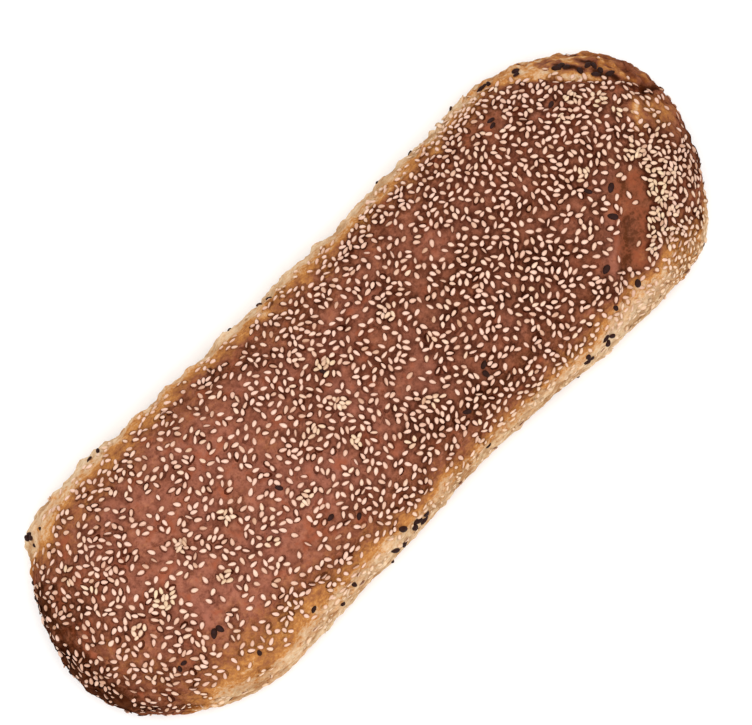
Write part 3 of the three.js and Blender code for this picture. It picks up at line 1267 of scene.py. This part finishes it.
def grain_layout(bed, settings):
    """Where every dark grain lies: its middle in millimetres, its axes and its scale."""
    random = np.random.default_rng(settings.seed)
    spots = [
        (place(along, across, up) + apart * random.standard_normal(3), size, 0.2)
        for along, across, up, apart, count, size in GRAIN_SPOTS
        for _ in range(count)
    ]
    for _ in range(settings.strays):
        bearing = random.uniform(0, 2 * math.pi)
        aim = place(1.1 * math.cos(bearing), 1.3 * math.sin(bearing), random.uniform(0.08, 0.70))
        spots.append((aim, random.uniform(0.65, 0.95), -0.25))
    room = RoomKeeper()
    layout = []
    for spot, size, lift in spots:
        for attempt in range(GRAIN_TRIES):
            foot, normal = bed.surface(spot + 0.45 * attempt * random.standard_normal(3))
            heading, pitch, roll = random.uniform(0, 2 * math.pi), *(0.15 * random.standard_normal(2))
            axes = turned(normal, heading, pitch, roll)
            scale = size * (1 + 0.07 * random.standard_normal(3))
            middle = foot + normal * lift
            circles = grain_circles(middle, axes, scale, settings)
            if room.is_clear(circles, 0.75):
                room.keep(circles)
                layout.append((middle, axes, scale))
                break
    return layout


class LOAF_OT_grains(bpy.types.Operator):
    """Press the dark grains into the crust, the placed ones first and then the strays"""

    bl_idname = "loaf.grains"
    bl_label = "Press In Dark Grains"

    def execute(self, context):
        settings = context.scene.seeded_loaf.grain
        bed = SeedBed(bpy.data.objects["loaf_crust"].data)
        length = settings.length
        template = teardrop("dark_grain", (length, GRAIN_WIDTH * length, 0.5 * length), 0.3, 6, 10)
        matrices = [lay_matrix(*grain) for grain in grain_layout(bed, settings)]
        mesh = copies("dark_grains", template, matrices)
        side = vectors(template.vertices)[:, 2] / length
        set_share(mesh, "foot", np.tile(1 - smooth(side, -0.12, 0.0), len(matrices)))
        new_piece("dark_grains", mesh, grain_material(settings))
        bpy.data.meshes.remove(template)
        return {"FINISHED"}


# ---- Stage ----


def camera_axes(azimuth, elevation):
    """The camera's right, up and backward directions. Azimuth 0 looks along +Y."""
    flat = math.cos(elevation)
    back = Vector((math.sin(azimuth) * flat, -math.cos(azimuth) * flat, math.sin(elevation)))
    right = Vector((math.cos(azimuth), math.sin(azimuth), 0))
    return right, back.cross(right), back


class LOAF_OT_stage(bpy.types.Operator):
    """Set the stage: a pale floor, soft light and a camera that looks down on the loaf"""

    bl_idname = "loaf.stage"
    bl_label = "Set Stage"

    FLOOR_WIDTH = 8.0
    AIM = (4.6 * MM, 4.4 * MM, 25 * MM)
    LIGHT_WIDTH = 0.9
    LIGHT_DISTANCE = 1.25
    LIGHT_SHIFT = 0.04  # how far the light stands down and right of the camera's line, as a share

    def execute(self, context):
        settings = context.scene.seeded_loaf.stage
        self.lay_floor(settings)
        self.hang_lights(context, settings)
        self.set_camera(context, settings)
        context.scene.view_settings.view_transform = "Standard"
        return {"FINISHED"}

    def lay_floor(self, settings):
        plane = bmesh.new()
        bmesh.ops.create_grid(plane, x_segments=1, y_segments=1, size=self.FLOOR_WIDTH / 2)
        floor = new_object("floor", new_mesh("floor", plane))
        looks = {"Base Color": opaque(settings.floor_colour), "Roughness": 0.9}
        floor.data.materials.append(Shading("pale_floor").finished(looks))

    def hang_lights(self, context, settings):
        world = bpy.data.worlds.new("studio")
        world.use_nodes = True
        sky = world.node_tree.nodes["Background"]
        sky.inputs["Color"].default_value = (1.0, 1.0, 1.0, 1.0)
        sky.inputs["Strength"].default_value = settings.sky
        context.scene.world = world

        data = bpy.data.lights.new("key_light", "AREA")
        data.shape = "DISK"
        data.size = self.LIGHT_WIDTH
        data.energy = settings.key
        light = new_object("key_light", data)
        right, up, back = camera_axes(settings.azimuth, settings.elevation)
        towards = back - up * self.LIGHT_SHIFT + right * self.LIGHT_SHIFT
        light.location = towards * self.LIGHT_DISTANCE
        light.rotation_euler = light.location.to_track_quat("Z", "Y").to_euler()

    def set_camera(self, context, settings):
        data = bpy.data.cameras.new("camera")
        data.lens = settings.focal_length
        data.clip_start = 0.01
        camera = new_object("camera", data)
        right, up, back = camera_axes(settings.azimuth, settings.elevation)
        turn = Matrix((right, up, back)).transposed().to_4x4()
        camera.matrix_world = Matrix.Translation(Vector(self.AIM) + back * settings.distance) @ turn
        context.scene.camera = camera


# ---- Panel ----


class LOAF_PT_panel(bpy.types.Panel):
    """Steps and settings of the seeded loaf"""

    bl_idname = "LOAF_PT_panel"
    bl_label = "Seeded Loaf"
    bl_space_type = "VIEW_3D"
    bl_region_type = "UI"
    bl_category = "Seeded Loaf"

    STEPS = (
        ("loaf.crust", "crust"),
        ("loaf.grains", "grain"),
        ("loaf.sesame", "sesame"),
        ("loaf.stage", "stage"),
    )

    def draw(self, context):
        settings = context.scene.seeded_loaf
        for operator, group_name in self.STEPS:
            box = self.layout.box()
            box.operator(operator)
            group = getattr(settings, group_name)
            for name in group.__annotations__:
                box.prop(group, name)


CLASSES = (
    LoafCrustSettings,
    LoafSesameSettings,
    LoafGrainSettings,
    LoafStageSettings,
    LoafSettings,
    LOAF_OT_crust,
    LOAF_OT_sesame,
    LOAF_OT_grains,
    LOAF_OT_stage,
    LOAF_PT_panel,
)


def register():
    for cls in CLASSES:
        bpy.utils.register_class(cls)
    bpy.types.Scene.seeded_loaf = PointerProperty(type=LoafSettings)


def unregister():
    del bpy.types.Scene.seeded_loaf
    for cls in reversed(CLASSES):
        bpy.utils.unregister_class(cls)


def main():
    register()
    bpy.ops.loaf.crust()
    bpy.ops.loaf.grains()
    bpy.ops.loaf.sesame()
    bpy.ops.loaf.stage()


if __name__ == "__main__":
    main()
